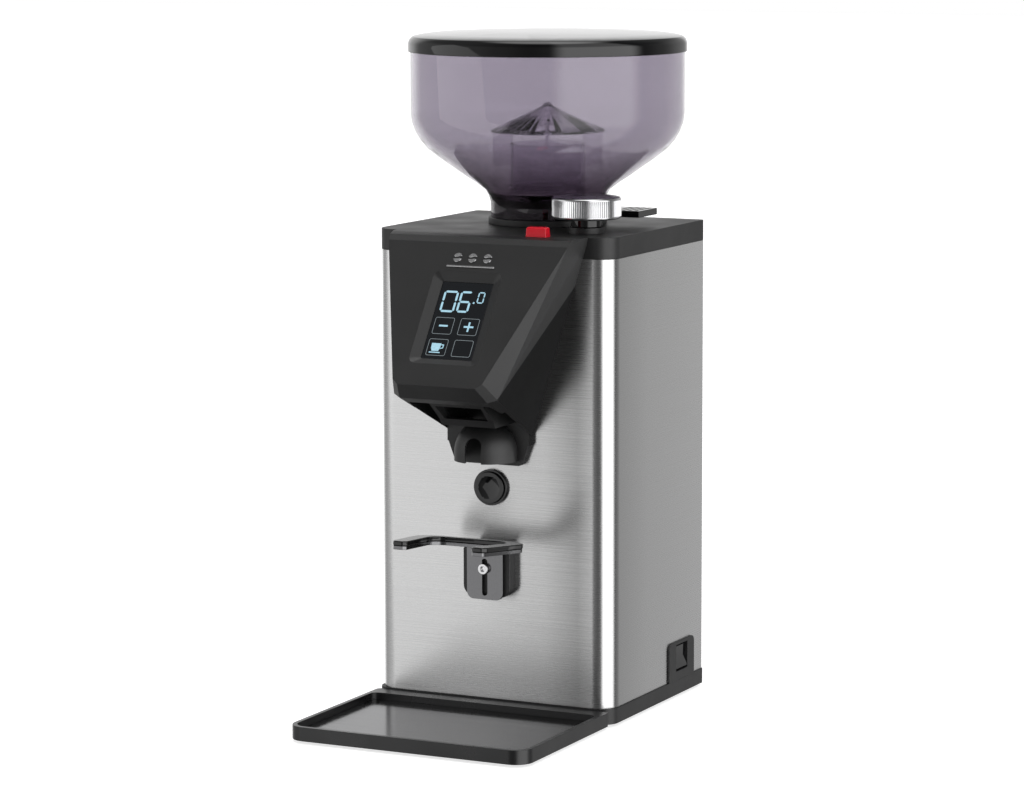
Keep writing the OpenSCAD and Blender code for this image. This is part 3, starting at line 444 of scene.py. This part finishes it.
for name, look in (("fork", machined("fork_steel", (0.17, 0.17, 0.175), 0.16, 900)),
                   ("bean_guard", smoked("guard_clear", (0.74, 0.71, 0.76), (0.8, 0.77, 0.82), 1.2))):
    bpy.data.objects[name + "_shape"].data.materials[0] = look


# The crease and side walls that bound the console's painted light and painted shade
CREASE_REAR, CREASE_FRONT = at(63.6, 4.3, 298.4), at(39.3, -65, 228)
SIDE_LOW, SIDE_HIGH = at(0, 0, 185).z, at(0, 0, 322).z      # heights between which the side walls lie
SIDE_FACING = 0.75                                          # least sideways share of a side wall's normal
SIDE_NEAREST = 0.026                                        # least distance of a side wall from the middle


def paint_console_light_and_shade(mesh):
    """Painted light and shade on the console: its bevel band gets a lighter copy of the black plastic as painted
    light, and its side walls below the crease a darker one as painted shade.
    """
    below = Vector((0, CREASE_REAR.z - CREASE_FRONT.z, CREASE_FRONT.y - CREASE_REAR.y)).normalized()

    def on_the_side(face, center):
        outward = face.normal.x * math.copysign(1, center.x)
        return outward > SIDE_FACING and SIDE_LOW < center.z < SIDE_HIGH and abs(center.x) > SIDE_NEAREST

    bm = bmesh.new()
    bm.from_mesh(mesh)
    sides = [face for face in bm.faces if on_the_side(face, face.calc_center_median())]
    edges = {edge for face in sides for edge in face.edges}
    verts = {vert for face in sides for vert in face.verts}
    bmesh.ops.bisect_plane(bm, geom=sides + list(edges) + list(verts), plane_co=CREASE_REAR,
                           plane_no=below)
    bm.to_mesh(mesh)
    bm.free()
    # Painted shade: a darker, less shiny copy of the black plastic for the side walls below the crease
    mesh.materials.append(moulded("console_side", (0.0025, 0.0025, 0.0027), 0.6, Specular_IOR_Level=0.22))
    # Painted light: a lighter copy of the black plastic for the bevel band above the crease
    mesh.materials.append(moulded("console_band_painted_light", (0.0225, 0.0225, 0.0228), 0.5))
    for face in mesh.polygons:
        if on_the_side(face, face.center):
            lower = (face.center - CREASE_REAR).dot(below) > 0
            face.material_index = len(mesh.materials) - (2 if lower else 1)


paint_console_light_and_shade(bpy.data.objects["console_housing_shape"].data)


# ---- adjustment knob ----

knob_low, knob_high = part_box("adjustment_knob")
knob_tall = (knob_high.z - knob_low.z) / MM
knob_wide = (knob_high.x - knob_low.x) / MM / 2
lathe("knob_shape", "adjustment_knob",
      [(0, 0), (knob_wide - 1.7, 0), (knob_wide - 0.5, 0.5), (knob_wide, 1.5), (knob_wide, 1.9),
       (knob_wide - 0.05, 2), (knob_wide - 0.05, knob_tall - 2), (knob_wide, knob_tall - 1.9),
       (knob_wide, knob_tall - 1.5), (knob_wide - 0.35, knob_tall - 0.75),
       (knob_wide - 1.1, knob_tall - 0.15), (knob_wide - 1.9, knob_tall),
       (0, knob_tall)],
      Vector((KNOB.x, KNOB.y, knob_low.z)), steps=384, ribs=(0.4, 2, knob_tall - 2), shade=30)


# ---- display ----

GLASS = "display_glass"
LIFT = 0.00005                               # metres that the lit shapes stand off the glass


def flat_mesh(name, rings, look):
    """Flat lit shapes on the glass. Each ring is a closed list of (across, down) points in millimetres."""
    tilt = Matrix.Rotation(math.pi / 2 - PANEL_LEAN, 3, "X")
    out = tilt @ Vector((0, 0, 1))
    down = tilt @ Vector((0, -1, 0))
    top = max((v.co for v in nodes[GLASS].data.vertices), key=lambda c: (round(c.z, 5), c.dot(out)))
    origin = down * top.dot(down) + out * (top.dot(out) + LIFT)
    bm = bmesh.new()
    for ring in rings:
        bm.faces.new([bm.verts.new(Vector((u * MM, 0, 0)) + origin + down * (v * MM)) for u, v in ring])
    bmesh.ops.recalc_face_normals(bm, faces=bm.faces)
    for face in bm.faces:
        if face.normal.dot(out) < 0:
            face.normal_flip()
    mesh = bpy.data.meshes.new(name)
    bm.to_mesh(mesh)
    bm.free()
    settle(name, mesh, GLASS, stands_for=False)
    mesh.materials[0] = look


def digit(segments, left, right, top, bottom, w, gap):
    """Seven-segment digit outlines. Segments are named a to g, clockwise from the top, g in the middle."""
    mid = (top + bottom) / 2
    h = w / 2
    level = {"a": top + h, "g": mid, "d": bottom - h}
    rings = []
    for s in segments:
        if s in level:
            y = level[s]
            x0, x1 = left + h + gap, right - h - gap
            rings.append([(x0, y), (x0 + h, y - h), (x1 - h, y - h), (x1, y), (x1 - h, y + h), (x0 + h, y + h)])
        else:
            x = right - h if s in "bc" else left + h
            y0, y1 = (top + h, mid) if s in "bf" else (mid, bottom - h)
            y0, y1 = y0 + gap, y1 - gap
            rings.append([(x, y0), (x + h, y0 + h), (x + h, y1 - h), (x, y1), (x - h, y1 - h), (x - h, y0 + h)])
    return rings


def bar_ring(x0, x1, y0, y1):
    """A plain rectangle's outline."""
    return [(x0, y0), (x1, y0), (x1, y1), (x0, y1)]


def box_rings(x0, x1, y0, y1):
    """A rounded box outline as a chain of quads."""
    line, r, steps = 0.36, 1.3, 5
    corners = ((x1 - r, y0 + r, -90), (x1 - r, y1 - r, 0), (x0 + r, y1 - r, 90), (x0 + r, y0 + r, 180))

    def loop(inset):
        return [point for cx, cy, start in corners for point in arc((cx, cy), r - inset, start, start + 90, steps)]

    outer, inner = loop(0), loop(line)
    count = len(outer)
    return [[outer[i], outer[(i + 1) % count], inner[(i + 1) % count], inner[i]] for i in range(count)]


lit = glow("display_lit", (0.42, 0.7, 0.84), 0.95)
dim = glow("display_lines", (0.45, 0.52, 0.56), 0.45)
flat_mesh("display_digits",
          digit("abcdef", -15.3, -4.5, 6.5, 22.6, 1.5, 0.25) + digit("acdefg", -3.1, 5.9, 6.4, 22.4, 1.5, 0.25)
          + digit("abcdef", 10, 15, 6.5, 15, 0.9, 0.15) + [bar_ring(7.6, 8.8, 14.2, 15.4)], lit)
flat_mesh("display_boxes",
          box_rings(-16.1, -1.9, 26.5, 39) + box_rings(2.6, 16.5, 26.5, 39)
          + box_rings(-16.1, -1.9, 42.6, 55) + box_rings(2.6, 16.5, 42.6, 55), dim)
flat_mesh("display_signs",
          [bar_ring(-12.2, -5.8, 32.1, 33.4), bar_ring(6, 13.1, 32.1, 33.4), bar_ring(8.9, 10.2, 29.2, 36.3)], lit)
flat_mesh("display_cup",
          [[(-13.5, 45.8), (-6.5, 45.8), (-6.7, 49.5), (-7.6, 51.6), (-12.4, 51.6), (-13.3, 49.5)],
           bar_ring(-14, -6, 52.2, 53),
           [(-6.3, 46.4), (-4.3, 46.6), (-4.5, 49.4), (-6.6, 49.9), (-6.6, 49.2), (-5.2, 48.8), (-5, 47.4),
            (-6.4, 47.2)]], lit)


# ---- stage: floor and light ----

# Brightness by azimuth, by height, and what the overhead panel adds; all are shares of RING_SCALE
RING_SCALE = 3.0
RING = ((-180, 0.18), (-168, 0.345), (-122, 0.345), (-104, 0.15), (-60, 0.2), (-35, 0.15), (-15, 0.1), (12, 0.05),
        (26, 0.07), (42, 0.85), (96, 0.85), (112, 0.06), (132, 0.11), (158, 0.19), (180, 0.18))
DOME = ((-90, 0.3), (-32, 0.5), (-14, 1.0), (14, 1.0), (34, 0.5), (90, 0.4))
TOP = ((-90, 0.0), (58, 0.0), (76, 0.9), (90, 1.0))
AIM_HEIGHT = 0.2
FLOOR_REACH = 12
FLOOR_GLOW = 0.72


def softbox(name, azimuth, distance, height, size, radiance):
    """A rectangular light aimed at the middle of the object, as bright as the radiance given.

    Its azimuth is in degrees from the front, positive to the object's right.
    """
    data = bpy.data.lights.new(name, "AREA")
    data.shape = "RECTANGLE"
    data.size, data.size_y = size
    data.energy = radiance * math.pi * size[0] * size[1]
    light = bpy.data.objects.new(name, data)
    bpy.context.scene.collection.objects.link(light)
    turn = math.radians(azimuth)
    light.location = Vector((distance * math.sin(turn), -distance * math.cos(turn), height))
    light.rotation_euler = (Vector((0, 0, AIM_HEIGHT)) - light.location).to_track_quat("-Z", "Z").to_euler()
    light.visible_camera = False
    light.visible_transmission = False


def curve_of(tree, value, low, high, stops):
    """A value read off a ramp of (position, brightness) stops."""
    spread = tree.nodes.new("ShaderNodeMapRange")
    spread.inputs["From Min"].default_value = low
    spread.inputs["From Max"].default_value = high
    tree.links.new(value, spread.inputs["Value"])
    ramp = tree.nodes.new("ShaderNodeValToRGB")
    ramp.color_ramp.interpolation = "EASE"
    elements = ramp.color_ramp.elements
    while len(elements) < len(stops):
        elements.new(0.5)
    for element, (place, level) in zip(elements, sorted(stops)):
        element.position = (place - low) / (high - low)
        element.color = (level, level, level, 1)
    tree.links.new(spread.outputs["Result"], ramp.inputs["Fac"])
    return ramp.outputs["Color"]


def studio_world():
    """White behind the object, and a ring of soft panels for everything that it reflects."""
    world = bpy.data.worlds.new("studio")
    bpy.context.scene.world = world
    world.use_nodes = True
    tree = world.node_tree
    tree.nodes.clear()
    coord = tree.nodes.new("ShaderNodeTexCoord")
    split = tree.nodes.new("ShaderNodeSeparateXYZ")
    tree.links.new(coord.outputs["Generated"], split.inputs["Vector"])

    def math_node(operation, *values):
        made = tree.nodes.new("ShaderNodeMath")
        made.operation = operation
        for index, value in enumerate(values):
            if isinstance(value, (int, float)):
                made.inputs[index].default_value = value
            else:
                tree.links.new(value, made.inputs[index])
        return made.outputs["Value"]

    def mix_node(blend_type, first, second):
        made = tree.nodes.new("ShaderNodeMix")
        made.data_type = "RGBA"
        made.blend_type = blend_type
        made.inputs["Factor"].default_value = 1
        tree.links.new(first, made.inputs["A"])
        tree.links.new(second, made.inputs["B"])
        return made.outputs["Result"]

    azimuth = math_node("ARCTAN2", split.outputs["X"], math_node("MULTIPLY", split.outputs["Y"], -1))
    degrees = math_node("MULTIPLY", azimuth, 180 / math.pi)
    height = math_node("MULTIPLY", math_node("ARCSINE", split.outputs["Z"]), 180 / math.pi)
    ring = curve_of(tree, degrees, -180, 180, RING)
    dome = curve_of(tree, height, -90, 90, DOME)
    top = curve_of(tree, height, -90, 90, TOP)
    ambient = tree.nodes.new("ShaderNodeBackground")
    tree.links.new(mix_node("ADD", mix_node("MULTIPLY", ring, dome), top), ambient.inputs["Color"])
    ambient.inputs["Strength"].default_value = RING_SCALE
    seen = tree.nodes.new("ShaderNodeBackground")
    seen.inputs["Color"].default_value = (1, 1, 1, 1)
    path = tree.nodes.new("ShaderNodeLightPath")
    bounced = math_node("MAXIMUM", path.outputs["Is Glossy Ray"], path.outputs["Is Diffuse Ray"])
    mix = tree.nodes.new("ShaderNodeMixShader")
    tree.links.new(bounced, mix.inputs["Fac"])
    tree.links.new(seen.outputs["Background"], mix.inputs[1])
    tree.links.new(ambient.outputs["Background"], mix.inputs[2])
    out = tree.nodes.new("ShaderNodeOutputWorld")
    tree.links.new(mix.outputs["Shader"], out.inputs["Surface"])


studio_world()
softbox("left_card", -45, 0.75, 0.25, (0.5, 1.2), 0.75)

floor_mesh = bpy.data.meshes.new("floor")
floor_mesh.from_pydata([(x * FLOOR_REACH, y * FLOOR_REACH, 0) for x, y in ((-1, -1), (1, -1), (1, 1), (-1, 1))],
                       [], [(0, 1, 2, 3)])
floor = bpy.data.objects.new("floor", floor_mesh)
bpy.context.scene.collection.objects.link(floor)
floor_white = Finish("floor_white", (0.6, 0.6, 0.6), 0.7)
floor_white.set("Emission Color", (1, 1, 1, 1))
floor_white.set("Emission Strength", FLOOR_GLOW)
floor_mesh.materials.append(floor_white.material)
floor.visible_glossy = False
floor.visible_diffuse = False

bpy.context.scene.view_settings.view_transform = "Standard"
